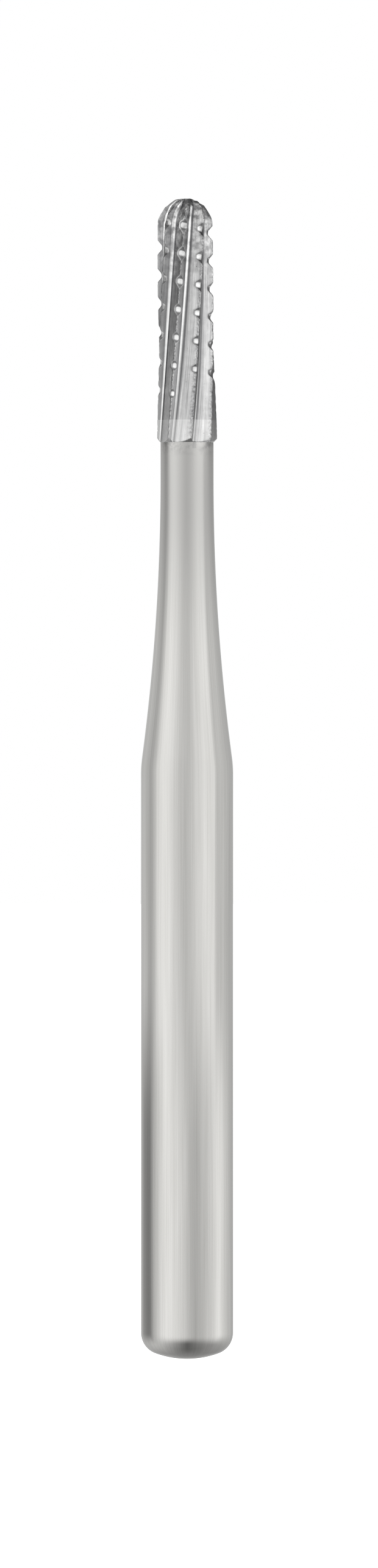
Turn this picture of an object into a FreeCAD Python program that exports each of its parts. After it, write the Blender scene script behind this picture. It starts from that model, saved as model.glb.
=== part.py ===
"""Dental bur for a friction-grip turbine handpiece, in millimetres.

A tungsten carbide cutting head with a domed end is butt-joined to a stainless steel shank.
The axis is Z, the free end of the shank is at the origin and the cutting tip points up.
Eight right-hand blades run the length of the head and across the joint, and a fine left-hand
cross-cut notches their edges.
"""
import FreeCAD, Part
import math
import os
import Sketcher
from FreeCAD import Vector

SIZES = [
    # whole bur, along the axis
    ("overall_length", 20.15),
    ("head_length", 4.25),
    ("collar_length", 0.39),
    ("neck_length", 0.61),
    ("flare_length", 5.0),
    # turned steel shank
    ("shank_radius", 0.8),
    ("tail_crown_radius", 1.6),
    ("tail_corner_radius", 0.38),
    ("neck_radius", 0.46),
    ("flare_blend_radius", 2.3),
    # blank of the cutting head, before the flutes are ground
    ("front_radius", 0.478),
    ("back_radius", 0.525),
    # flutes
    ("blade_count", 8),
    ("flute_lead", 36.7),
    ("dome_turn", 30.0),
    ("rake_angle", 40.0),
    ("land_width", 0.02),
    ("core_front_radius", 0.335),
    ("core_runout", 0.012),
    ("core_curve", 1.2),
    ("floor_round", 0.07),
    ("tip_web", 0.008),
    # cross-cut notches
    ("notch_pitch", 0.492),
    ("notch_start", 0.052),
    ("notch_turns", 6.125),
    ("notch_front_depth", 0.09),
    ("notch_back_depth", 0.042),
    ("notch_flank_angle", 48.0),
    ("notch_floor_width", 0.07),
]

BODY_SECTIONS = 9
DOME_SECTIONS = 7
LEAST_DEPTH_SHARE = 0.1
FILLET_SHARE = 0.4
CLEARANCE = 0.03
NOTCH_SWEEP_SHARE = 0.93
NOTCH_AHEAD_SHARE = 0.27


def make_sheet(doc):
    sheet = doc.addObject("Spreadsheet::Sheet", "sizes")
    for row, (alias, value) in enumerate(SIZES, start=1):
        sheet.set("A%d" % row, alias)
        sheet.set("B%d" % row, str(value))
        sheet.setAlias("B%d" % row, alias)
    doc.recompute()
    return sheet


# Heights along the axis, worked out from the sheet

def head_back(size):
    return size.overall_length - size.head_length


def joint_height(size):
    return head_back(size) + size.collar_length


def edge_start(size):
    """Height where the chamfer behind the head meets the blade edges."""
    return head_back(size) + size.back_radius - size.neck_radius


def dome_base(size):
    return size.overall_length - size.front_radius


# Radii and angle of the blades at a height

def blank_radius(size, z):
    """Radius over the blade edges: a slight cone, then the dome."""
    above = z - dome_base(size)
    if above > 0:
        return math.sqrt(max(size.front_radius ** 2 - above ** 2, 0))
    share = -above / (dome_base(size) - edge_start(size))
    return size.front_radius + (size.back_radius - size.front_radius) * share


def core_radius(size, z):
    """Radius at the floor of the flutes, which get shallower towards the neck."""
    above = z - dome_base(size)
    if above > 0:
        return size.core_front_radius * math.sqrt(1 - (above / core_dome_height(size)) ** 2)
    share = -above / (dome_base(size) - head_back(size))
    rise = size.neck_radius + size.core_runout - size.core_front_radius
    return size.core_front_radius + rise * share ** size.core_curve


def core_dome_height(size):
    """The core's dome is taller than the blank's, so the flutes fade out short of the tip."""
    return size.front_radius + size.tip_web


def edge_angle(size, z):
    """Angle of the first blade's edge, in degrees. It faces -Y where the dome starts."""
    above = z - dome_base(size)
    angle = -90 + 360 * above / size.flute_lead
    if above > 0:
        angle += size.dome_turn * (1 - blank_radius(size, z) / size.front_radius)
    return angle


# Flute section

def polar(radius, degrees):
    return Vector(radius * math.cos(math.radians(degrees)), radius * math.sin(math.radians(degrees)), 0)


def crossing(point_a, way_a, point_b, way_b):
    """Where two lines of the section meet."""
    gap = point_b - point_a
    along = (gap.x * way_b.y - gap.y * way_b.x) / (way_a.x * way_b.y - way_a.y * way_b.x)
    return point_a + way_a * along


def flute_section(size, z):
    """Closed star-shaped wire at a height: each tooth's rake face, floor arc and back."""
    count = int(size.blade_count)
    pitch = 360 / count
    floor_radius = core_radius(size, z)
    edge_radius = max(blank_radius(size, z), floor_radius * (1 + LEAST_DEPTH_SHARE))
    rake = math.radians(size.rake_angle)
    sideways = floor_radius * math.sin(rake)
    reach = math.sqrt(edge_radius ** 2 - sideways ** 2) - floor_radius * math.cos(rake)
    lead = math.degrees(math.atan2(reach * math.sin(rake), floor_radius + reach * math.cos(rake)))
    land = math.degrees(size.land_width / edge_radius)
    floors = []
    rake_ways = []
    back_ways = []
    for index in range(count):
        edge = edge_angle(size, z) + index * pitch
        floor = polar(floor_radius, edge + lead)
        floors.append(floor)
        rake_ways.append((polar(edge_radius, edge) - floor).normalize())
        back_ways.append((polar(edge_radius, edge + pitch - land) - floor).normalize())
    tips = [crossing(floors[index], rake_ways[index], floors[index - 1], back_ways[index - 1])
            for index in range(count)]
    edges = []
    for index in range(count):
        floor = floors[index]
        half_angle = rake_ways[index].getAngle(back_ways[index]) / 2
        rake_length = (tips[index] - floor).Length
        tangent = min(size.floor_round / math.tan(half_angle), FILLET_SHARE * rake_length)
        middle_way = (rake_ways[index] + back_ways[index]).normalize()
        radius = tangent * math.tan(half_angle)
        start = floor + rake_ways[index] * tangent
        end = floor + back_ways[index] * tangent
        middle = floor + middle_way * (radius / math.sin(half_angle) - radius)
        edges.append(Part.makeLine(tips[index], start))
        edges.append(Part.Arc(start, middle, end).toShape())
        edges.append(Part.makeLine(end, tips[(index + 1) % count]))
    wire = Part.Wire(edges)
    wire.translate(Vector(0, 0, z))
    return wire


def fluted_bar(doc, size):
    """Solid star-shaped bar that the blank is ground down to."""
    bottom = head_back(size) - CLEARANCE
    step = (dome_base(size) - bottom) / BODY_SECTIONS
    heights = [bottom + step * index for index in range(BODY_SECTIONS + 1)]
    core_height = core_dome_height(size)
    top = math.asin((size.front_radius + core_height) / 2 / core_height)
    for index in range(1, DOME_SECTIONS + 1):
        heights.append(dome_base(size) + core_height * math.sin(top * index / DOME_SECTIONS))
    bar = doc.addObject("Part::Feature", "fluted_bar")
    bar.Shape = Part.makeLoft([flute_section(size, z) for z in heights], True, False)
    return bar


# Cross-cut notches

def notch_tool(size, z, angle, share):
    """Short arc of a flat-bottomed V groove, tilted like a left-hand thread."""
    depth = size.notch_front_depth + (size.notch_back_depth - size.notch_front_depth) * share
    floor = blank_radius(size, min(z, dome_base(size))) - depth
    outer = blank_radius(size, head_back(size)) + CLEARANCE
    flank = math.radians(size.notch_flank_angle)
    half_bottom = size.notch_floor_width / 2
    half_top = half_bottom + (outer - floor) * math.tan(flank)
    corners = [(outer, -half_top), (floor, -half_bottom), (floor, half_bottom), (outer, half_top)]
    profile = Part.makePolygon([Vector(r, 0, height) for r, height in corners + corners[:1]])
    sweep = NOTCH_SWEEP_SHARE * 360 / size.blade_count
    ahead = NOTCH_AHEAD_SHARE * sweep
    middle = ahead - sweep / 2
    tilt = math.degrees(math.atan(size.notch_pitch / (2 * math.pi * floor)))
    tool = Part.Face(profile).revolve(Vector(0, 0, 0), Vector(0, 0, 1), sweep)
    tool.rotate(Vector(0, 0, 0), Vector(0, 0, 1), -sweep / 2)
    tool.rotate(Vector(0, 0, 0), Vector(1, 0, 0), -tilt)
    tool.rotate(Vector(0, 0, 0), Vector(0, 0, 1), angle + middle)
    tool.translate(Vector(0, 0, z))
    return tool


def notch_tools(doc, size):
    """One tool where each turn of the cross-cut thread meets a blade, from the back of the dome."""
    count = int(size.blade_count)
    drop = size.notch_pitch / count / (1 + size.notch_pitch / size.flute_lead)
    top = dome_base(size) + size.notch_start
    last = round(size.notch_turns * count)
    tools = []
    for index in range(last + 1):
        z = top - index * drop
        blade_turn = (index - 1) * 360 / count
        tools.append(notch_tool(size, z, edge_angle(size, z) + blade_turn, index / last))
    notches = doc.addObject("Part::Feature", "notch_tools")
    notches.Shape = Part.makeCompound(tools)
    return notches


# Turned shapes: a closed half profile in the XZ plane, revolved about Z

class Profile:
    """Sketch drawn with lines and arcs, whose sizes are tied to the sheet."""

    def __init__(self, sketch):
        self.sketch = sketch

    def line(self, start, end):
        return self.sketch.addGeometry(Part.LineSegment(Vector(*start, 0), Vector(*end, 0)))

    def arc(self, centre, radius, first, last):
        circle = Part.Circle(Vector(*centre, 0), Vector(0, 0, 1), radius)
        return self.sketch.addGeometry(Part.ArcOfCircle(circle, math.radians(first), math.radians(last)))

    def add(self, *constraint):
        return self.sketch.addConstraint(Sketcher.Constraint(*constraint))

    def set_size(self, name, expression, *constraint):
        index = self.add(*constraint)
        self.sketch.renameConstraint(index, name)
        self.sketch.setExpression("Constraints." + name, expression)


def turned_body(doc, name, draw, size):
    """Body with one sketch in its XZ plane and the revolution of that sketch."""
    body = doc.addObject("PartDesign::Body", name)
    plane = [item for item in body.Origin.OriginFeatures if item.Role == "XZ_Plane"][0]
    sketch = body.newObject("Sketcher::SketchObject", name + "_profile")
    sketch.AttachmentSupport = [(plane, "")]
    sketch.MapMode = "FlatFace"
    draw(Profile(sketch), size)
    doc.recompute()
    turning = body.newObject("PartDesign::Revolution", name + "_turning")
    turning.Profile = sketch
    turning.ReferenceAxis = (sketch, ["V_Axis"])
    turning.Angle = 360
    body.Tip = turning
    doc.recompute()
    return body


HEAD_BACK = "sizes.overall_length - sizes.head_length"
DOME_BASE = "sizes.overall_length - sizes.front_radius"
JOINT = HEAD_BACK + " + sizes.collar_length"
EDGE_START = HEAD_BACK + " + sizes.back_radius - sizes.neck_radius"
JOINT_RADIUS = ("sizes.back_radius + (sizes.front_radius - sizes.back_radius)"
                " * (sizes.collar_length - sizes.back_radius + sizes.neck_radius)"
                " / (sizes.head_length - sizes.front_radius - sizes.back_radius + sizes.neck_radius)")


def draw_head(profile, size):
    """Carbide blank: flat joint face, slight cone and domed end."""
    joint_z = joint_height(size)
    dome_z = dome_base(size)
    front = size.front_radius
    joint_r = blank_radius(size, joint_z)
    face = profile.line((0, joint_z), (joint_r, joint_z))
    cone = profile.line((joint_r, joint_z), (front, dome_z))
    dome = profile.arc((0, dome_z), front, 0, 90)
    axis = profile.line((0, dome_z + front), (0, joint_z))
    profile.add("Coincident", face, 2, cone, 1)
    profile.add("Coincident", cone, 2, dome, 1)
    profile.add("Coincident", dome, 2, axis, 1)
    profile.add("Coincident", axis, 2, face, 1)
    profile.add("Horizontal", face)
    profile.add("PointOnObject", face, 1, -2)
    profile.add("PointOnObject", dome, 2, -2)
    profile.add("PointOnObject", dome, 3, -2)
    profile.add("Horizontal", dome, 1, dome, 3)
    profile.set_size("joint_height", JOINT, "DistanceY", -1, 1, face, 1, joint_z)
    profile.set_size("joint_radius", JOINT_RADIUS, "DistanceX", -1, 1, face, 2, joint_r)
    profile.set_size("dome_height", DOME_BASE, "DistanceY", -1, 1, dome, 3, dome_z)
    profile.set_size("dome_radius", "sizes.front_radius", "Radius", dome, front)


def draw_shank(profile, size):
    """Steel shank: crowned end, cylinder, long flare, neck, chamfer and collar."""
    shank = size.shank_radius
    neck = size.neck_radius
    crown = size.tail_crown_radius
    corner = size.tail_corner_radius
    blend = size.flare_blend_radius
    neck_z = head_back(size)
    flare_top = neck_z - size.neck_length
    step = shank - neck
    flare = (size.flare_length ** 2 + step ** 2) / 2 / step
    joint_z = joint_height(size)
    joint_r = blank_radius(size, joint_z)
    edge_z = edge_start(size)

    tilt = math.degrees(math.asin((shank - corner) / (crown - corner)))
    corner_z = crown - (crown - corner) * math.cos(math.radians(tilt))
    crown_r = crown * math.sin(math.radians(tilt))
    crown_z = crown - crown * math.cos(math.radians(tilt))
    blend_turn = math.degrees(math.acos((flare + neck - shank + blend) / (flare + blend)))
    blend_z = flare_top - (flare + blend) * math.sin(math.radians(blend_turn))
    meet_r = shank - blend + blend * math.cos(math.radians(blend_turn))
    meet_z = blend_z + blend * math.sin(math.radians(blend_turn))

    tail = profile.arc((0, crown), crown, -90, -90 + tilt)
    round_edge = profile.arc((shank - corner, corner_z), corner, -90 + tilt, 0)
    side = profile.line((shank, corner_z), (shank, blend_z))
    soft = profile.arc((shank - blend, blend_z), blend, 0, blend_turn)
    flare_arc = profile.arc((neck + flare, flare_top), flare, 180, 180 + blend_turn)
    neck_line = profile.line((neck, flare_top), (neck, neck_z))
    chamfer = profile.line((neck, neck_z), (size.back_radius, edge_z))
    collar = profile.line((size.back_radius, edge_z), (joint_r, joint_z))
    face = profile.line((joint_r, joint_z), (0, joint_z))
    axis = profile.line((0, joint_z), (0, 0))
    profile.add("Coincident", tail, 1, -1, 1)
    profile.add("PointOnObject", tail, 3, -2)
    profile.add("Tangent", tail, 2, round_edge, 1)
    profile.add("Tangent", round_edge, 2, side, 1)
    profile.add("Tangent", side, 2, soft, 1)
    profile.add("Tangent", soft, 2, flare_arc, 2)
    profile.add("Tangent", flare_arc, 1, neck_line, 1)
    profile.add("Coincident", neck_line, 2, chamfer, 1)
    profile.add("Coincident", chamfer, 2, collar, 1)
    profile.add("Coincident", collar, 2, face, 1)
    profile.add("Coincident", face, 2, axis, 1)
    profile.add("Coincident", axis, 2, tail, 1)
    profile.add("Vertical", side)
    profile.add("Vertical", neck_line)
    profile.add("Horizontal", face)
    profile.add("PointOnObject", face, 2, -2)
    profile.set_size("tail_crown", "sizes.tail_crown_radius", "Radius", tail, crown)
    profile.set_size("tail_corner", "sizes.tail_corner_radius", "Radius", round_edge, corner)
    profile.set_size("shank_size", "sizes.shank_radius", "DistanceX", -1, 1, side, 1, shank)
    profile.set_size("blend_size", "sizes.flare_blend_radius", "Radius", soft, blend)
    profile.set_size("flare_size", "(sizes.flare_length ^ 2 + (sizes.shank_radius - sizes.neck_radius) ^ 2)"
                     " / 2 / (sizes.shank_radius - sizes.neck_radius)", "Radius", flare_arc, flare)
    profile.set_size("flare_height", HEAD_BACK + " - sizes.neck_length",
                     "DistanceY", -1, 1, neck_line, 1, flare_top)
    profile.set_size("neck_size", "sizes.neck_radius", "DistanceX", -1, 1, neck_line, 1, neck)
    profile.set_size("neck_height", HEAD_BACK, "DistanceY", -1, 1, chamfer, 1, neck_z)
    profile.set_size("edge_height", EDGE_START, "DistanceY", -1, 1, collar, 1, edge_z)
    profile.set_size("edge_radius", "sizes.back_radius", "DistanceX", -1, 1, collar, 1, size.back_radius)
    profile.set_size("joint_height", JOINT, "DistanceY", -1, 1, face, 1, joint_z)
    profile.set_size("joint_radius", JOINT_RADIUS, "DistanceX", -1, 1, face, 1, joint_r)


# The two pieces

def make_head(doc, size, bar):
    """Tungsten carbide head: fluted blank less its cross-cut notches."""
    blank = turned_body(doc, "head_blank", draw_head, size)
    fluted = doc.addObject("Part::Common", "fluted_head")
    fluted.Base = blank
    fluted.Tool = bar
    head = doc.addObject("Part::Cut", "carbide_head")
    head.Base = fluted
    head.Tool = notch_tools(doc, size)
    head.Label = "carbide_head"
    return head


def make_shank(doc, size, bar):
    """Steel shank, with the back ends of the flutes ground across its collar."""
    blank = turned_body(doc, "shank_blank", draw_shank, size)
    ring = doc.addObject("Part::Cylinder", "collar_ring")
    ring.setExpression("Radius", "sizes.back_radius + %g" % CLEARANCE)
    ring.setExpression("Height", "sizes.collar_length + %g" % CLEARANCE)
    ring.setExpression("Placement.Base.z", HEAD_BACK + " - %g" % (CLEARANCE / 2))
    space = doc.addObject("Part::Cut", "flute_space")
    space.Base = ring
    space.Tool = bar
    shank = doc.addObject("Part::Cut", "steel_shank")
    shank.Base = blank
    shank.Tool = space
    shank.Label = "steel_shank"
    return shank


def check_document(doc, pieces):
    failed = [item.Name for item in doc.Objects if {"Invalid", "Error"} & set(item.State)]
    if failed:
        raise RuntimeError("not built: " + ", ".join(failed))
    for piece in pieces:
        if piece.Shape.isNull() or not piece.Shape.isValid() or len(piece.Shape.Solids) != 1:
            raise RuntimeError("not one valid solid: " + piece.Label)


def main():
    doc = FreeCAD.newDocument("dental_bur")
    size = make_sheet(doc)
    bar = fluted_bar(doc, size)
    pieces = [make_head(doc, size, bar), make_shank(doc, size, bar)]
    doc.recompute()
    check_document(doc, pieces)
    os.makedirs("parts", exist_ok=True)
    for piece in pieces:
        piece.Shape.exportStep("parts/%s.step" % piece.Label)
        print(piece.Label, "volume %.4f mm3" % piece.Shape.Volume, piece.Shape.BoundBox)


main()
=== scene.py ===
"""Dental bur: the finish of its ground carbide head and turned steel shank.

Shapes are worked out in millimetres and written in metres. The axis is Z, the free end of the
shank is at the origin, the tip points up and the camera looks along +Y. The sizes of the head and
the shank are those of the part's own sheet.
"""
import math

import bpy
import numpy as np
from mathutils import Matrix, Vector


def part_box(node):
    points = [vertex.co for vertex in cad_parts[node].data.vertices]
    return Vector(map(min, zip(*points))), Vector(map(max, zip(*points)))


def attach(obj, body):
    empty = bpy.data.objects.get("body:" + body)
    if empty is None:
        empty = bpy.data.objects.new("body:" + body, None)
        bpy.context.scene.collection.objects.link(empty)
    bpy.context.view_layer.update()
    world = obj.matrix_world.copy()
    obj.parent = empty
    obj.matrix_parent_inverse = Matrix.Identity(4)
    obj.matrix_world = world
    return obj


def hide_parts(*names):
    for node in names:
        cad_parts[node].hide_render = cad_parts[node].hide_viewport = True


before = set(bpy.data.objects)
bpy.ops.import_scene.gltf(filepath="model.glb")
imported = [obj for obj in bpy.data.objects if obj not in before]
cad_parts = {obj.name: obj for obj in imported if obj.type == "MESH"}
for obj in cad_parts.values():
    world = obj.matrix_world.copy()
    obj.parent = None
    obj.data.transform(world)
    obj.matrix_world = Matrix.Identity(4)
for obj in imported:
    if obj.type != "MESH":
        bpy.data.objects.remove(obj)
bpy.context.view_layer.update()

MM = 0.001
TURN = 2 * math.pi

# Sizes from the frame, in millimetres
head_low, head_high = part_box("carbide_head")
shank_low, shank_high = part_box("steel_shank")
TIP = head_high.z / MM
JOINT = head_low.z / MM
SHANK_RADIUS = (shank_high.x - shank_low.x) / 2 / MM

# Head and collar
HEAD_LENGTH = 4.25
NECK_RADIUS = 0.46
FRONT_RADIUS = 0.478
BACK_RADIUS = 0.525
BLADE_COUNT = 8
FLUTE_LEAD = 36.7
DOME_TURN = math.radians(30)
RAKE_ANGLE = math.radians(40)
LAND_WIDTH = 0.02
CORE_FRONT_RADIUS = 0.335
CORE_RUNOUT = 0.012
CORE_CURVE = 1.2
FLOOR_ROUND = 0.07
TIP_WEB = 0.008
LEAST_DEPTH_SHARE = 0.1
FILLET_SHARE = 0.4
HEAD_BACK = TIP - HEAD_LENGTH
EDGE_START = HEAD_BACK + BACK_RADIUS - NECK_RADIUS
DOME_BASE = TIP - FRONT_RADIUS
CORE_DOME = FRONT_RADIUS + TIP_WEB
PITCH = TURN / BLADE_COUNT

# Lean of the head to the left of the shank's axis, at the dome
HEAD_LEAN = 0.033

# Cross-cut notches
NOTCH_PITCH = 0.492
NOTCH_START = 0.052
NOTCH_TURNS = 6.125
NOTCH_FRONT_DEPTH = 0.09
NOTCH_BACK_DEPTH = 0.042
NOTCH_FLANK = math.radians(48)
NOTCH_HALF_FLOOR = 0.035
NOTCH_ROUND = 0.012
# Length of a notch round the axis, and how far it reaches past the blade's edge
NOTCH_SWEEP = 0.93 * PITCH
NOTCH_AHEAD = 0.27 * NOTCH_SWEEP
# Share of a notch's half length where it starts to run out, and its rise by the end
NOTCH_FADE_START = 0.7
NOTCH_FADE = 0.2
# Heights up the flank over which the painted highlight on a notch's bottom fades, rounding of the rim,
# and the depth at which that painted highlight has its full strength
NOTCH_BOTTOM = (0.002, 0.03)
NOTCH_BLEND = 0.008
NOTCH_OVAL = 0.045
# Limit on the radius where no notch cuts, well outside the bur
UNCUT = 9.0

# Turned shank
NECK_LENGTH = 0.61
FLARE_LENGTH = 5.0
BLEND_RADIUS = 2.3
CROWN_RADIUS = 1.6
CORNER_RADIUS = 0.38
FLARE_TOP = HEAD_BACK - NECK_LENGTH

# Wear of the cutting edges and the uneven tip
WEAR_SEED = 11
CHIP_SPACING = 0.04
CHIP_DEPTH = 0.007
NICKS_PER_BLADE = 7
NICK_DEPTH = 0.014
NICK_HALF_WIDTH = 0.025
TIP_FACETS = 70
FACET_DEPTH = (0.002, 0.02)
FACET_REACH = math.radians(82)
FACET_SPREAD = 0.6
TIP_GRAIN = 0.02
TIP_GRAIN_RISE = 0.12
TIP_GRID = 22

# Mesh steps across one tooth and along the bur
RAKE_STEPS = 7
FLOOR_STEPS = 5
BACK_STEPS = 11
LAND_STEPS = 2
TOOTH_STEPS = RAKE_STEPS + FLOOR_STEPS + BACK_STEPS + LAND_STEPS
RING = BLADE_COUNT * TOOTH_STEPS
ROW_STEP = 0.0105
DOME_ROWS = 64
DOME_END = math.radians(88.8)
CHAMFER_STEP = 0.005
NECK_STEP = 0.05
FLARE_ROWS = 60
BLEND_ROWS = 9
GRIP_ROWS = 24
CORNER_ROWS = 19
CROWN_ROWS = 14
CROWN_START = math.radians(1.2)
SHARP_ANGLE = math.radians(28)
TOOTH_SPREAD = 0.42

# Photograph and camera
PHOTO_HEIGHT = 2576
PHOTO_MIDDLE = (310.5, 1288.0)
PHOTO_AXIS = 307.3
PHOTO_TAIL = 2232.5
PHOTO_SHANK_WIDTH = 151.5
PIXEL = 2 * SHANK_RADIUS / PHOTO_SHANK_WIDTH
CAMERA_DISTANCE = 300.0
CLIP_START = 1.0
CLIP_END = 10000.0
SENSOR = 36.0

# Light tent: level of the light from each compass direction round the bur, 0 towards the camera.
# The cards and softboxes stand at different heights, so there is one row beside the grip, one
# beside the flare and one beside the head.
STUDIO_GRIP = [
    (-180, 0.65), (-166, 0.6), (-154, 0.53), (-131, 0.3), (-104, 0.23), (-92, 0.55), (-78, 0.78),
    (-57, 1.06), (-28, 1.0), (-10, 0.86), (6, 0.66), (20, 0.55), (34, 0.66), (58, 0.8),
    (86, 1.08), (101, 0.9), (118, 0.72), (152, 0.48), (168, 0.6), (180, 0.65),
]
STUDIO_FLARE = [
    (-180, 1.0), (-166, 0.66), (-152, 0.58), (-130, 0.67), (-101, 0.5), (-86, 0.68), (-78, 0.98),
    (-55, 1.09), (-36, 0.92), (-16, 0.74), (-4, 0.66), (9, 0.75), (20, 0.84), (42, 1.0),
    (72, 1.02), (77, 0.68), (98, 0.73), (128, 0.56), (155, 0.5), (168, 0.66), (180, 1.0),
]
STUDIO_HEAD = [
    (-180, 0.8), (-165, 0.28), (-142, 0.45), (-130, 0.55), (-122, 0.45), (-114, 0.22), (-107, 0.05),
    (-101, 0.05), (-92, 0.5), (-80, 1.3), (-45, 1.1), (-14, 0.88), (0, 0.75), (14, 0.7),
    (32, 0.98), (48, 1.27), (68, 1.32), (84, 0.95), (101, 0.5), (117, 0.16), (160, 0.1), (174, 0.3),
    (180, 0.6),
]
STUDIO_TOP = 1.6
# Heights where one row fades into the next
GRIP_TO_FLARE = (3.5, 6.5)
FLARE_TO_HEAD = (16.4, 17.0)
TENT_RADIUS = 20.0
TENT_LOW = -40.0
TENT_HIGH = 60.0
TENT_SIDES = 96
# Darker lower part, lighter towards its sides, and the part overhead
LOW_TILT = math.radians(10)
LOW_INNER = math.radians(44)
LOW_OUTER = math.radians(88)
LOW_LEVEL = 0.14
LOW_LEFT = 0.66
LOW_RIGHT = 0.34
LOW_BEHIND = 0.14
OVERHEAD_INNER = math.radians(18)
OVERHEAD_OUTER = math.radians(36)
OVERHEAD_LEVEL = 0.7

# Floor, far enough below the free end to keep the shadow on it out of the picture
FLOOR_DEPTH = 6.0
FLOOR_SIZE = 4000.0
FLOOR_TONE = 0.8
FLOOR_LIFT = 0.65

# Finish of the ground teeth. A scale is that of the noise across a tooth and along it, and a span
# turns the first two values into the last two.
LINE_SCALE = (75, 1.1, 1)
BAND_SCALE = (16, 0.8, 1)
PIT_SCALE = (34, 24, 1)
BLOTCH_SCALE = 9.0
LINE_SHARE = 0.6
LINE_SPAN = (0.3, 0.68, 0.5, 1.38)
SPECK_SPAN = (0.38, 0.62, 0.25, 1.0)
PIT_SPAN = (0.22, 0.32, 0.35, 1.0)
# Painted shade on the notch flanks rising to a painted highlight on the notch bottoms
NOTCH_PAINTED_LIGHT_SPAN = (0.2, 0.9, 0.26, 0.95)
DOME_SPAN = (DOME_BASE - 1.4, DOME_BASE + 0.3, 0.12, 1.0)
MOTTLE_SPAN = (0.38, 0.62, 0.4, 1.5)
# Painted light across a tooth, as a share of the bright colour: painted shade on the rake face, a
# painted highlight on the polished flute floor, painted shade in the crease beside it, then the back
# and the land
TOOTH_PAINTED_LIGHT = [
    (0.0, 0.4), (0.04, 0.3), (0.2, 0.27), (0.25, 0.15), (0.3, 0.8), (0.38, 0.86), (0.415, 0.45),
    (0.445, 0.08), (0.485, 0.1), (0.54, 0.55), (0.8, 0.6), (0.95, 0.6), (1.0, 0.5),
]
# Middle of the polished floor, and how far from it the grinding lines and the edge wear begin
FLOOR_PLACE = 0.35
LINES_FROM = (0.07, 0.12)
WEAR_FROM = (0.42, 0.62)
FLOOR_ROUGHNESS = 0.14
TOOTH_ROUGHNESS = (0.3, 0.7, 0.34, 0.22)
DOME_RELIEF = 5.0
GROUND_DEPTH = 0.002
# Ends of the colour range of the teeth; the share between them holds grinding lines, pits and painted
# light and shade
CARBIDE_DARK = (0.1, 0.1, 0.105, 1)
CARBIDE_BRIGHT = (0.92, 0.92, 0.915, 1)
GROUND_STEEL_DARK = (0.3, 0.3, 0.3, 1)
GROUND_STEEL_BRIGHT = (0.97, 0.97, 0.965, 1)

# Finish of the turned shank, with noise scales round it and along it
TURNED_SCALE = (46, 46, 0.4)
STREAK_SCALE = (8, 8, 0.25)
CLOUD_SCALE = (1.5, 1.5, 0.9)
TURNED_SPAN = (0.3, 0.7, 0.0, 1.0)
POLISH_ROUGHNESS = (0.7, 1.3, 0.18, 0.13)
# Rougher satin towards the neck, and a darker tone there that is painted shade
SATIN_AND_SHADE_SPAN = (12.0, 15.0, 0.0, 1.0)
SATIN_PAINTED_SHADE = 0.74
SATIN_ROUGHNESS = 0.08
SCUFF_LENGTH = 0.25
SCUFF_SCALE = 11.0
SCUFF_SPAN = (0.45, 0.6, 0.0, 0.5)
SCUFF_TONE = 0.3
TURNED_DEPTH = 0.0007
POLISHED_DARK = (0.63, 0.623, 0.6, 1)
POLISHED_BRIGHT = (0.77, 0.763, 0.742, 1)


# Small helpers

def smooth(low, high, value):
    """0 below low, 1 above high and a smooth rise between."""
    share = np.clip((value - low) / (high - low), 0, 1)
    return share * share * (3 - 2 * share)


def wander(rng, low, high, spacing):
    """Smoothly changing random level from 0 to 1 along a length."""
    knots = np.arange(low, high + spacing, spacing)
    levels = rng.random(len(knots))
    return lambda position: np.interp(position, knots, levels)


# Form of the bur: radius as a function of angle and height

def blank_radius(z):
    """Radius over the blade edges: a slight cone, then the dome."""
    above = z - DOME_BASE
    dome = np.sqrt(np.maximum(FRONT_RADIUS ** 2 - np.maximum(above, 0) ** 2, 0))
    cone = FRONT_RADIUS - (BACK_RADIUS - FRONT_RADIUS) * above / (DOME_BASE - EDGE_START)
    return np.where(above > 0, dome, cone)


def core_radius(z):
    """Radius at the floor of the flutes."""
    above = z - DOME_BASE
    dome = CORE_FRONT_RADIUS * np.sqrt(np.maximum(1 - (np.maximum(above, 0) / CORE_DOME) ** 2, 0))
    share = np.maximum(-above, 0) / (DOME_BASE - HEAD_BACK)
    rise = NECK_RADIUS + CORE_RUNOUT - CORE_FRONT_RADIUS
    return np.where(above > 0, dome, CORE_FRONT_RADIUS + rise * share ** CORE_CURVE)


def edge_angle(z):
    """Angle of the first blade's edge, which faces the camera where the dome starts."""
    above = z - DOME_BASE
    angle = -TURN / 4 + TURN * above / FLUTE_LEAD
    return angle + np.where(above > 0, DOME_TURN * (1 - blank_radius(z) / FRONT_RADIUS), 0)


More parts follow.
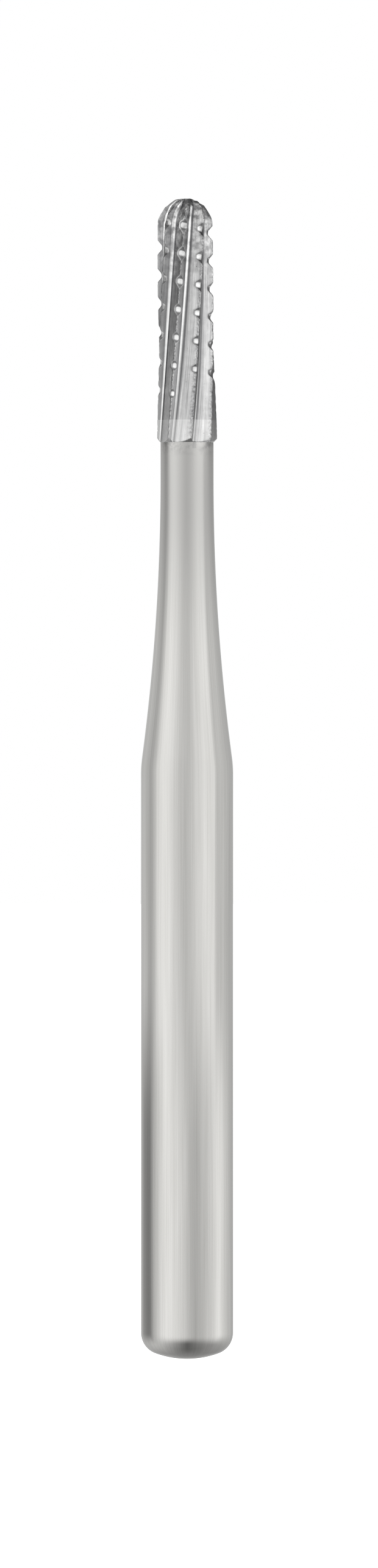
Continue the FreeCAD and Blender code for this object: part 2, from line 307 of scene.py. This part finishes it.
def tooth_section(z):
    """Points across one tooth at each height: rake face, floor arc, back and land.

    Gives radius and angle from the tooth's own edge, one row for each height.
    """
    z = z[:, None]
    floor_radius = core_radius(z)
    edge_radius = np.maximum(blank_radius(z), floor_radius * (1 + LEAST_DEPTH_SHARE))
    sideways = floor_radius * math.sin(RAKE_ANGLE)
    reach = np.sqrt(edge_radius ** 2 - sideways ** 2) - floor_radius * math.cos(RAKE_ANGLE)
    lead = np.arctan2(reach * math.sin(RAKE_ANGLE), floor_radius + reach * math.cos(RAKE_ANGLE))
    land = LAND_WIDTH / edge_radius

    edge = edge_radius + 0j
    floor = floor_radius * np.exp(1j * lead)
    heel = edge_radius * np.exp(1j * (PITCH - land))
    rake_way = (edge - floor) / np.abs(edge - floor)
    back_way = (heel - floor) / np.abs(heel - floor)
    middle_way = (rake_way + back_way) / np.abs(rake_way + back_way)
    half_angle = np.angle(back_way / rake_way) / 2
    tangent = np.minimum(FLOOR_ROUND / np.tan(half_angle), FILLET_SHARE * np.abs(edge - floor))
    arc_radius = tangent * np.tan(half_angle)
    arc_centre = floor + middle_way * arc_radius / np.sin(half_angle)

    rake = edge + (floor + rake_way * tangent - edge) * np.arange(RAKE_STEPS) / RAKE_STEPS
    turn = (math.pi / 2 - half_angle) * (1 - 2 * np.arange(FLOOR_STEPS) / FLOOR_STEPS)
    arc = arc_centre - middle_way * arc_radius * np.exp(1j * turn)
    start = floor + back_way * tangent
    back = start + (heel - start) * np.arange(BACK_STEPS) / BACK_STEPS
    top = edge_radius * np.exp(1j * (PITCH - land * (1 - np.arange(LAND_STEPS) / LAND_STEPS)))
    across = np.concatenate([rake, arc, back, top], axis=1)
    return np.abs(across), np.angle(across)


def notch_limit(angle, z):
    """Radius left by the cross-cut notches, one where each turn of the thread meets a blade.

    Also gives how near each point is to the bottom of its notch, from 0 up the flanks to 1.
    """
    limit = np.full(angle.shape, UNCUT)
    bottom = np.zeros(angle.shape)
    drop = NOTCH_PITCH / BLADE_COUNT / (1 + NOTCH_PITCH / FLUTE_LEAD)
    last = round(NOTCH_TURNS * BLADE_COUNT)
    for index in range(last + 1):
        height = DOME_BASE + NOTCH_START - index * drop
        rows = np.abs(z - height) < NOTCH_PITCH
        middle = edge_angle(height) + (index - 1) * PITCH + NOTCH_AHEAD - NOTCH_SWEEP / 2
        away = np.remainder(angle[rows] - middle + math.pi, TURN) - math.pi
        line = height - np.sin(away) * NOTCH_PITCH / TURN
        depth = NOTCH_FRONT_DEPTH + (NOTCH_BACK_DEPTH - NOTCH_FRONT_DEPTH) * index / last
        beyond = np.abs(z[rows, None] - line) - NOTCH_HALF_FLOOR
        rise = (beyond + np.sqrt(beyond ** 2 + NOTCH_ROUND ** 2)) / 2 / math.tan(NOTCH_FLANK)
        cut = blank_radius(min(height, DOME_BASE)) - depth + rise
        cut = cut + NOTCH_FADE * smooth(NOTCH_FADE_START, 1, np.abs(away) / NOTCH_SWEEP * 2)
        cut = np.where(np.abs(away) < NOTCH_SWEEP / 2, cut, UNCUT)
        bottom[rows] = np.where(cut < limit[rows], 1 - smooth(*NOTCH_BOTTOM, rise), bottom[rows])
        limit[rows] = np.minimum(limit[rows], cut)
    return limit, bottom


def edge_wear(rng, z):
    """Depth of the fine chips along each blade's edge, one column for each blade."""
    worn = []
    for _ in range(BLADE_COUNT):
        depth = CHIP_DEPTH * wander(rng, HEAD_BACK, TIP, CHIP_SPACING)(z) ** 2
        for place in rng.uniform(HEAD_BACK, DOME_BASE, NICKS_PER_BLADE):
            nick = NICK_DEPTH * rng.random() * (1 - np.abs(z - place) / NICK_HALF_WIDTH)
            depth = np.maximum(depth, nick)
        worn.append(depth)
    return np.array(worn).T


def fluted_rings(z, rng):
    """Radius and angle of every column at each height of the head or the collar.

    Also maps the notches: how far inside one each point is, and how near its bottom.
    """
    radius, angle = tooth_section(z)
    turns = np.arange(BLADE_COUNT) * PITCH
    radius = np.tile(radius, (1, BLADE_COUNT))
    angle = (angle[:, None, :] + turns[None, :, None]).reshape(len(z), RING) + edge_angle(z)[:, None]
    wear = edge_wear(rng, z)
    behind = np.concatenate([wear, wear[:, :1]], axis=1)
    share = np.arange(TOOTH_STEPS) / TOOTH_STEPS
    worn = behind[:, :-1, None] * (share < 0.5) + behind[:, 1:, None] * (share >= 0.5)
    limit = np.minimum(blank_radius(z), NECK_RADIUS + np.maximum(z - HEAD_BACK, 0))
    radius = np.minimum(radius, limit[:, None] - worn.reshape(len(z), RING))
    notched, bottom = notch_limit(angle, z)
    inside = smooth(0, NOTCH_BLEND, radius - notched)
    bottom = bottom * smooth(0, NOTCH_OVAL, radius - notched)
    left = (radius + notched - np.sqrt((radius - notched) ** 2 + NOTCH_BLEND ** 2)) / 2
    notch_map = np.stack([inside, bottom], axis=2)
    return left, angle, np.concatenate([notch_map, notch_map[:, :1]], axis=1)


def ring_points(radius, angle, z):
    """Points of each ring. The head leans a little to the left of the shank's axis."""
    z = np.broadcast_to(np.asarray(z)[:, None], radius.shape)
    lean = HEAD_LEAN * smooth(HEAD_BACK, DOME_BASE, z)
    return np.stack([radius * np.cos(angle) - lean, radius * np.sin(angle), z], axis=2)


def tooth_map(z):
    """Map across the teeth and along the axis, in millimetres, that the grinding lines follow."""
    across = np.arange(RING + 1) / TOOTH_STEPS * TOOTH_SPREAD
    return np.stack(np.broadcast_arrays(across[None, :], z[:, None]), axis=2)


def faceted_tip(points, rng):
    """Uneven facets that the grinding of the blade ends leaves on the dome."""
    centre = np.array([-HEAD_LEAN, 0, DOME_BASE])
    for _ in range(TIP_FACETS):
        tilt = FACET_REACH * rng.random() ** FACET_SPREAD
        compass = TURN * rng.random()
        out = math.sin(tilt)
        way = np.array([out * math.cos(compass), out * math.sin(compass), math.cos(tilt)])
        flat = FRONT_RADIUS - rng.uniform(*FACET_DEPTH)
        points = points - np.maximum((points - centre) @ way - flat, 0)[..., None] * way
    grid = rng.random((TIP_GRID, TIP_GRID))
    place = (points[..., :2] / FRONT_RADIUS + 1) / 2 * (TIP_GRID - 2)
    cell = np.clip(place.astype(int), 0, TIP_GRID - 2)
    part = place - cell
    column, row = cell[..., 0], cell[..., 1]
    near = grid[column, row] * (1 - part[..., 0]) + grid[column + 1, row] * part[..., 0]
    far = grid[column, row + 1] * (1 - part[..., 0]) + grid[column + 1, row + 1] * part[..., 0]
    dent = (near * (1 - part[..., 1]) + far * part[..., 1]) ** 2 * TIP_GRAIN
    dent = dent * smooth(DOME_BASE, DOME_BASE + TIP_GRAIN_RISE, points[..., 2])
    outward = points - centre
    return points - dent[..., None] * outward / np.linalg.norm(outward, axis=2)[..., None]


# Meshes

def add_mesh(name, points, maps, cap_low, cap_high, materials, material_of_row=None):
    """Closed ring mesh: rows of points from the bottom up, with a middle point at each end."""
    rows, ring = points.shape[:2]
    vertices = np.concatenate([points.reshape(-1, 3), [cap_low, cap_high]]) * MM
    row, column = np.meshgrid(np.arange(rows - 1), np.arange(ring), indexing="ij")
    after = (column + 1) % ring
    quads = np.stack([row * ring + column, row * ring + after,
                      (row + 1) * ring + after, (row + 1) * ring + column], axis=2).reshape(-1, 4)
    low, high = rows * ring, rows * ring + 1
    around = np.arange(ring)
    beside = (around + 1) % ring
    bottom = np.stack([np.full(ring, low), beside, around], axis=1)
    last_row = (rows - 1) * ring
    top = np.stack([np.full(ring, high), around + last_row, beside + last_row], axis=1)
    mesh = bpy.data.meshes.new(name)
    mesh.from_pydata(vertices.tolist(), [], quads.tolist() + bottom.tolist() + top.tolist())

    for map_name, uv in maps:
        corners = np.stack([uv[row, column], uv[row, column + 1],
                            uv[row + 1, column + 1], uv[row + 1, column]], axis=2).reshape(-1, 2)
        first, last = uv[0], uv[-1]
        below = np.stack([first[around], first[around + 1], first[around]], axis=1).reshape(-1, 2)
        above = np.stack([last[around], last[around], last[around + 1]], axis=1).reshape(-1, 2)
        layer = mesh.uv_layers.new(name=map_name)
        layer.data.foreach_set("uv", np.concatenate([corners, below, above]).astype(np.float32).ravel())

    for material in materials:
        mesh.materials.append(material)
    if material_of_row is not None:
        index = np.zeros(len(mesh.polygons), np.int32)
        index[:len(quads)] = np.repeat(material_of_row, ring)
        mesh.polygons.foreach_set("material_index", index)
    mesh.shade_smooth()
    mesh.set_sharp_from_angle(angle=SHARP_ANGLE)
    mesh.update()
    piece = bpy.data.objects.new(name, mesh)
    bpy.context.scene.collection.objects.link(piece)
    return piece


def even_rows(low, high, step):
    """Heights from low to high, about a step apart."""
    return np.linspace(low, high, max(2, round((high - low) / step) + 1))


def make_head(material, rng):
    """Carbide head from the joint to the tip."""
    body = even_rows(JOINT, DOME_BASE, ROW_STEP)
    rise = np.linspace(0, DOME_END, DOME_ROWS + 1)[1:]
    z = np.concatenate([body, DOME_BASE + FRONT_RADIUS * np.sin(rise)])
    radius, angle, notch_map = fluted_rings(z, rng)
    points = faceted_tip(ring_points(radius, angle, z), rng)
    crown = (-HEAD_LEAN, 0.0, points[-1, :, 2].max())
    maps = [("grain", tooth_map(z)), ("notch", notch_map)]
    return add_mesh("carbide_head_ground", points, maps, (0, 0, JOINT), crown, [material])


def shank_profile():
    """Radius and height down the turned shank, from the neck to the crowned free end."""
    step = SHANK_RADIUS - NECK_RADIUS
    flare = (FLARE_LENGTH ** 2 + step ** 2) / 2 / step
    blend_turn = math.acos((flare + NECK_RADIUS - SHANK_RADIUS + BLEND_RADIUS) / (flare + BLEND_RADIUS))
    blend_z = FLARE_TOP - (flare + BLEND_RADIUS) * math.sin(blend_turn)
    tilt = math.asin((SHANK_RADIUS - CORNER_RADIUS) / (CROWN_RADIUS - CORNER_RADIUS))
    corner_z = CROWN_RADIUS - (CROWN_RADIUS - CORNER_RADIUS) * math.cos(tilt)

    neck = [(NECK_RADIUS, z) for z in even_rows(FLARE_TOP, HEAD_BACK, NECK_STEP)[::-1][1:-1]]
    flared = [(NECK_RADIUS + flare - flare * math.cos(a), FLARE_TOP - flare * math.sin(a))
              for a in np.linspace(0, blend_turn, FLARE_ROWS)]
    blend = [(SHANK_RADIUS - BLEND_RADIUS + BLEND_RADIUS * math.cos(a),
              blend_z + BLEND_RADIUS * math.sin(a))
             for a in np.linspace(blend_turn, 0, BLEND_ROWS)[1:]]
    side = [(SHANK_RADIUS, z) for z in np.linspace(blend_z, corner_z, GRIP_ROWS)[1:]]
    corner = [(SHANK_RADIUS - CORNER_RADIUS + CORNER_RADIUS * math.cos(a),
               corner_z - CORNER_RADIUS * math.sin(a))
              for a in np.linspace(0, math.pi / 2 - tilt, CORNER_ROWS)[1:]]
    crown = [(CROWN_RADIUS * math.sin(a), CROWN_RADIUS - CROWN_RADIUS * math.cos(a))
             for a in np.linspace(tilt, CROWN_START, CROWN_ROWS)[1:]]
    return np.array(neck + flared + blend + side + corner + crown)[::-1]


def make_shank(polished, ground, rng):
    """Steel shank: fluted collar at the top, then neck, flare, grip cylinder and rounded end."""
    turned = shank_profile()
    chamfer = even_rows(HEAD_BACK, EDGE_START, CHAMFER_STEP)
    collar = np.concatenate([chamfer, even_rows(EDGE_START, JOINT, ROW_STEP)[1:]])
    radius, angle, notch_map = fluted_rings(collar, rng)
    # The columns leave the teeth at the neck and are evenly spaced by the end of the flare
    even = angle[0, 0] + np.arange(RING) / RING * TURN
    settle = smooth(0, FLARE_LENGTH, HEAD_BACK - turned[:, 1])[:, None]
    angle = np.concatenate([angle[:1] * (1 - settle) + even * settle, angle])
    radius = np.concatenate([np.tile(turned[:, :1], (1, RING)), radius])
    z = np.concatenate([turned[:, 1], collar])
    points = ring_points(radius, angle, z)
    material_of_row = (z[:-1] >= HEAD_BACK).astype(np.int32)
    notch_map = np.concatenate([np.zeros((len(turned), RING + 1, 2)), notch_map])
    maps = [("grain", tooth_map(z)), ("notch", notch_map)]
    return add_mesh("steel_shank_turned", points, maps, (0, 0, 0), (0, 0, JOINT),
                    [polished, ground], material_of_row)


# Shader nodes

class Shader:
    """Short calls for building a node tree."""

    def __init__(self, tree):
        self.tree = tree
        tree.nodes.clear()

    def node(self, kind, **settings):
        made = self.tree.nodes.new(kind)
        for name, value in settings.items():
            setattr(made, name, value)
        return made

    def put(self, target, value):
        """Link an output socket to the target, or set the target's own value."""
        if isinstance(value, bpy.types.NodeSocket):
            self.tree.links.new(value, target)
        else:
            target.default_value = value

    def math(self, operation, *values):
        made = self.node("ShaderNodeMath", operation=operation)
        for socket, value in zip(made.inputs, values):
            self.put(socket, value)
        return made.outputs[0]

    def mix(self, share, first, second):
        """Colour mix. Its sockets come after those for numbers and vectors."""
        made = self.node("ShaderNodeMix", data_type="RGBA")
        for place, value in ((0, share), (6, first), (7, second)):
            self.put(made.inputs[place], value)
        return made.outputs[2]

    def blend(self, share, first, second):
        """Number mix."""
        made = self.node("ShaderNodeMix", data_type="FLOAT")
        for place, value in ((0, share), (2, first), (3, second)):
            self.put(made.inputs[place], value)
        return made.outputs[0]

    def split(self, vector):
        made = self.node("ShaderNodeSeparateXYZ")
        self.put(made.inputs[0], vector)
        return made.outputs

    def join(self, x, y, z):
        made = self.node("ShaderNodeCombineXYZ")
        for socket, value in zip(made.inputs, (x, y, z)):
            self.put(socket, value)
        return made.outputs[0]

    def vector(self, operation, *values):
        made = self.node("ShaderNodeVectorMath", operation=operation)
        for socket, value in zip(made.inputs, values):
            self.put(socket, value)
        return made.outputs[0]

    def span(self, value, low, high, to_low, to_high, kind="LINEAR"):
        made = self.node("ShaderNodeMapRange", interpolation_type=kind)
        for name, number in (("Value", value), ("From Min", low), ("From Max", high),
                             ("To Min", to_low), ("To Max", to_high)):
            self.put(made.inputs[name], number)
        return made.outputs["Result"]

    def ramp(self, value, stops):
        """Level from 0 to 1 that follows the stops, each a place from 0 to 1 and its level."""
        made = self.node("ShaderNodeValToRGB")
        self.put(made.inputs["Fac"], value)
        elements = made.color_ramp.elements
        elements.remove(elements[-1])
        elements[0].position = stops[0][0]
        elements[0].color = grey(stops[0][1])
        for position, level in stops[1:]:
            elements.new(position).color = grey(level)
        return made.outputs["Color"]

    def noise(self, place, scale=1.0, detail=2.0):
        made = self.node("ShaderNodeTexNoise")
        self.put(made.inputs["Vector"], place)
        self.put(made.inputs["Scale"], scale)
        self.put(made.inputs["Detail"], detail)
        return made.outputs["Fac"]

    def stretch(self, place, scale):
        made = self.node("ShaderNodeMapping")
        self.put(made.inputs["Vector"], place)
        made.inputs["Scale"].default_value = scale
        return made.outputs["Vector"]

    def place_in_mm(self):
        """Place on the object in millimetres."""
        return self.stretch(self.node("ShaderNodeTexCoord").outputs["Object"], (1 / MM,) * 3)


def grey(level):
    return (level, level, level, 1)


def new_material(name):
    """New material and the calls that build its nodes."""
    material = bpy.data.materials.new(name)
    material.use_nodes = True
    return material, Shader(material.node_tree)


def finish_metal(shader, color, roughness, height, depth):
    """Metal surface with a bump of the given depth in millimetres."""
    surface = shader.node("ShaderNodeBsdfPrincipled")
    surface.inputs["Metallic"].default_value = 1.0
    shader.put(surface.inputs["Base Color"], color)
    shader.put(surface.inputs["Roughness"], roughness)
    bump = shader.node("ShaderNodeBump")
    bump.inputs["Strength"].default_value = 1.0
    bump.inputs["Distance"].default_value = depth * MM
    shader.put(bump.inputs["Height"], height)
    shader.put(surface.inputs["Normal"], bump.outputs["Normal"])
    output = shader.node("ShaderNodeOutputMaterial")
    shader.put(output.inputs["Surface"], surface.outputs["BSDF"])


def ground_metal(name, dark, bright):
    """Ground teeth: lengthwise lines, a polished flute floor with a painted highlight beside a crease
    of painted shade, painted highlights on notch bottoms between flanks of painted shade, and a
    blotched dome."""
    material, shader = new_material(name)
    place = shader.node("ShaderNodeUVMap", uv_map="grain").outputs["UV"]
    across, height, _ = shader.split(place)
    inside, bottom, _ = shader.split(shader.node("ShaderNodeUVMap", uv_map="notch").outputs["UV"])
    fine = shader.noise(shader.stretch(place, LINE_SCALE), detail=3.0)
    broad = shader.noise(shader.stretch(place, BAND_SCALE))
    pits = shader.noise(shader.stretch(place, PIT_SCALE))
    blotches = shader.noise(shader.place_in_mm(), BLOTCH_SCALE, detail=4.0)

    tooth = shader.math("FRACT", shader.math("DIVIDE", across, TOOTH_SPREAD))
    off_floor = shader.math("ABSOLUTE", shader.math("SUBTRACT", tooth, FLOOR_PLACE))
    lined = shader.span(off_floor, *LINES_FROM, 0.0, 1.0, "SMOOTHSTEP")
    worn = shader.span(off_floor, *WEAR_FROM, 0.0, 1.0, "SMOOTHSTEP")
    both = shader.blend(LINE_SHARE, broad, fine)
    lines = shader.blend(lined, 1.0, shader.span(both, *LINE_SPAN))
    specks = shader.blend(worn, 1.0, shader.span(pits, *SPECK_SPAN))
    # Painted highlight on the flute floor, painted shade on the rake face and in the crease
    painted_light_share = shader.ramp(tooth, TOOTH_PAINTED_LIGHT)
    share = shader.math("MULTIPLY", painted_light_share, shader.math("MULTIPLY", lines, specks))
    # Inside a notch: painted highlight on its bottom and painted shade on its flanks
    share = shader.blend(inside, share, shader.span(bottom, *NOTCH_PAINTED_LIGHT_SPAN, "SMOOTHSTEP"))
    domed = shader.span(height, *DOME_SPAN, "SMOOTHSTEP")
    mottled = shader.blend(domed, 1.0, shader.span(blotches, *MOTTLE_SPAN))
    share = shader.math("MULTIPLY", share, mottled)
    pits_and_painted_light = shader.math("MULTIPLY", share, shader.span(pits, *PIT_SPAN))

    color = shader.mix(pits_and_painted_light, dark, bright)
    roughness = shader.blend(lined, FLOOR_ROUGHNESS, shader.span(broad, *TOOTH_ROUGHNESS))
    rough_dome = shader.math("MULTIPLY", blotches, shader.math("MULTIPLY", domed, DOME_RELIEF))
    relief = shader.math("ADD", shader.math("MULTIPLY", fine, lined), rough_dome)
    finish_metal(shader, color, roughness, relief, GROUND_DEPTH)
    return material


def turned_metal(name, dark, bright):
    """Polished shank with faint lengthwise lines that turns to duller satin on the neck, where its
    colour is darkened as painted shade.
    """
    material, shader = new_material(name)
    spot = shader.place_in_mm()
    x, y, z = shader.split(spot)
    round_x, round_y, _ = shader.split(shader.vector("NORMALIZE", shader.join(x, y, 0.0)))
    place = shader.join(round_x, round_y, z)
    fine = shader.noise(shader.stretch(place, TURNED_SCALE), detail=3.0)
    broad = shader.noise(shader.stretch(place, STREAK_SCALE), detail=3.0)
    clouds = shader.noise(shader.stretch(place, CLOUD_SCALE))

    both = shader.blend(0.5, fine, broad)
    tone = shader.mix(shader.span(both, *TURNED_SPAN), dark, bright)
    # Rougher satin on the neck, and a darker colour there that is painted shade
    satin_and_shade = shader.span(z, *SATIN_AND_SHADE_SPAN, "SMOOTHSTEP")
    satin_shaded_tone = tuple(value * SATIN_PAINTED_SHADE for value in bright[:3]) + (1,)
    color = shader.mix(satin_and_shade, tone, satin_shaded_tone)
    near_collar = shader.span(z, HEAD_BACK - SCUFF_LENGTH, HEAD_BACK, 0.0, 1.0)
    smudges = shader.span(shader.noise(spot, SCUFF_SCALE, detail=3.0), *SCUFF_SPAN)
    scuffs = shader.math("MULTIPLY", near_collar, smudges)
    color = shader.mix(scuffs, color, grey(SCUFF_TONE))

    gloss = shader.span(shader.math("ADD", clouds, broad), *POLISH_ROUGHNESS)
    roughness = shader.math("ADD", gloss, shader.math("MULTIPLY", satin_and_shade, SATIN_ROUGHNESS))
    finish_metal(shader, color, roughness, both, TURNED_DEPTH)
    return material


# Light, floor and camera

def compass_level(shader, compass, stops):
    """Level of light from one row of the tent, by compass direction."""
    turn = shader.span(compass, -math.pi, math.pi, 0.0, 1.0)
    levels = [((degrees + 180) / 360, level / STUDIO_TOP) for degrees, level in stops]
    return shader.math("MULTIPLY", shader.ramp(turn, levels), STUDIO_TOP)


def tent_level(shader, place):
    """Level of light from a place on the tent: by height and compass, darker below and overhead."""
    height = shader.split(place)[2]
    x, y, z = shader.split(shader.vector("NORMALIZE", place))
    compass = shader.math("ARCTAN2", x, shader.math("MULTIPLY", y, -1.0))
    level = compass_level(shader, compass, STUDIO_GRIP)
    for limits, stops in ((GRIP_TO_FLARE, STUDIO_FLARE), (FLARE_TO_HEAD, STUDIO_HEAD)):
        share = shader.span(height, limits[0] * MM, limits[1] * MM, 0.0, 1.0, "SMOOTHSTEP")
        level = shader.blend(share, level, compass_level(shader, compass, stops))

    right = shader.math("MULTIPLY", x, LOW_RIGHT)
    left = shader.math("MULTIPLY", x, -LOW_LEFT)
    behind = shader.math("MAXIMUM", shader.math("MULTIPLY", y, LOW_BEHIND), 0.0)
    low = shader.math("ADD", shader.math("ADD", shader.math("MAXIMUM", right, left), behind), LOW_LEVEL)
    beneath = shader.math("ADD", shader.math("MULTIPLY", y, math.sin(LOW_TILT)),
                          shader.math("MULTIPLY", z, -math.cos(LOW_TILT)))
    off_beneath = shader.math("ARCCOSINE", beneath)
    raised = shader.span(off_beneath, LOW_INNER, LOW_OUTER, 0.0, 1.0, "SMOOTHSTEP")
    level = shader.blend(raised, low, level)
    above = shader.span(shader.math("ARCCOSINE", z), OVERHEAD_INNER, OVERHEAD_OUTER,
                        OVERHEAD_LEVEL, 1.0, "SMOOTHSTEP")
    return shader.math("MULTIPLY", level, above)


def add_stage(name, mesh):
    """Staging object, which isn't part of the bur."""
    staging = bpy.data.objects.new(name, mesh)
    bpy.context.scene.collection.objects.link(staging)
    return staging


def make_world():
    """Plain white background all round."""
    world = bpy.data.worlds.new("white_background")
    bpy.context.scene.world = world
    world.use_nodes = True
    shader = Shader(world.node_tree)
    white = shader.node("ShaderNodeBackground")
    white.inputs["Color"].default_value = grey(1.0)
    output = shader.node("ShaderNodeOutputWorld")
    shader.put(output.inputs["Surface"], white.outputs[0])


def make_tent():
    """Closed round light tent close to the bur, seen by the metal and not by the camera."""
    angle = np.arange(TENT_SIDES) * TURN / TENT_SIDES
    ring = np.stack([np.cos(angle), np.sin(angle)], axis=1) * TENT_RADIUS
    points = [(x * MM, y * MM, z * MM) for z in (TENT_LOW, TENT_HIGH) for x, y in ring]
    around = list(range(TENT_SIDES))
    beside = around[1:] + around[:1]
    wall = [(i, j, j + TENT_SIDES, i + TENT_SIDES) for i, j in zip(around, beside)]
    ends = [around[::-1], [i + TENT_SIDES for i in around]]
    mesh = bpy.data.meshes.new("light_tent")
    mesh.from_pydata(points, [], wall + ends)

    material, shader = new_material("tent_light")
    place = shader.node("ShaderNodeTexCoord").outputs["Object"]
    glow = shader.node("ShaderNodeEmission")
    shader.put(glow.inputs["Color"], tent_level(shader, place))
    output = shader.node("ShaderNodeOutputMaterial")
    shader.put(output.inputs["Surface"], glow.outputs[0])
    mesh.materials.append(material)
    add_stage("light_tent", mesh).visible_camera = False


def make_floor():
    """White floor that keeps the bur's shadow, and that is clear when seen from below.

    The metal reflects the dark lower part of the tent in place of the floor.
    """
    half = FLOOR_SIZE / 2 * MM
    low = -FLOOR_DEPTH * MM
    corners = [(-half, -half, low), (half, -half, low), (half, half, low), (-half, half, low)]
    mesh = bpy.data.meshes.new("floor")
    mesh.from_pydata(corners, [], [(0, 1, 2, 3)])

    material, shader = new_material("floor_white")
    matt = shader.node("ShaderNodeBsdfDiffuse")
    matt.inputs["Color"].default_value = grey(FLOOR_TONE)
    lift = shader.node("ShaderNodeEmission")
    camera_ray = shader.node("ShaderNodeLightPath").outputs["Is Camera Ray"]
    shader.put(lift.inputs["Strength"], shader.math("MULTIPLY", camera_ray, FLOOR_LIFT))
    both = shader.node("ShaderNodeAddShader")
    shader.put(both.inputs[0], matt.outputs[0])
    shader.put(both.inputs[1], lift.outputs[0])
    clear = shader.node("ShaderNodeBsdfTransparent")
    choice = shader.node("ShaderNodeMixShader")
    shader.put(choice.inputs[0], shader.node("ShaderNodeNewGeometry").outputs["Backfacing"])
    shader.put(choice.inputs[1], both.outputs[0])
    shader.put(choice.inputs[2], clear.outputs[0])
    output = shader.node("ShaderNodeOutputMaterial")
    shader.put(output.inputs["Surface"], choice.outputs[0])
    mesh.materials.append(material)
    add_stage("floor", mesh).visible_glossy = False


def make_camera():
    """Level camera at the photograph's framing, far enough away for its long-lens look."""
    frame_height = PHOTO_HEIGHT * PIXEL
    data = bpy.data.cameras.new("camera")
    data.sensor_width = SENSOR
    data.lens = SENSOR * CAMERA_DISTANCE / frame_height
    data.clip_start = CLIP_START * MM
    data.clip_end = CLIP_END * MM
    camera = bpy.data.objects.new("camera", data)
    across = (PHOTO_MIDDLE[0] - PHOTO_AXIS) * PIXEL
    height = (PHOTO_TAIL - PHOTO_MIDDLE[1]) * PIXEL
    camera.location = (across * MM, -CAMERA_DISTANCE * MM, height * MM)
    camera.rotation_euler = (math.pi / 2, 0, 0)
    bpy.context.scene.collection.objects.link(camera)
    bpy.context.scene.camera = camera


make_camera()
make_world()
make_tent()
make_floor()
bpy.context.scene.view_settings.view_transform = "Standard"

carbide = ground_metal("ground_carbide", CARBIDE_DARK, CARBIDE_BRIGHT)
ground_steel = ground_metal("ground_steel", GROUND_STEEL_DARK, GROUND_STEEL_BRIGHT)
polished_steel = turned_metal("polished_steel", POLISHED_DARK, POLISHED_BRIGHT)

wear = np.random.default_rng(WEAR_SEED)
head = make_head(carbide, wear)
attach(head, "root")
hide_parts("carbide_head")
shank = make_shank(polished_steel, ground_steel, wear)
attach(shank, "root")
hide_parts("steel_shank")
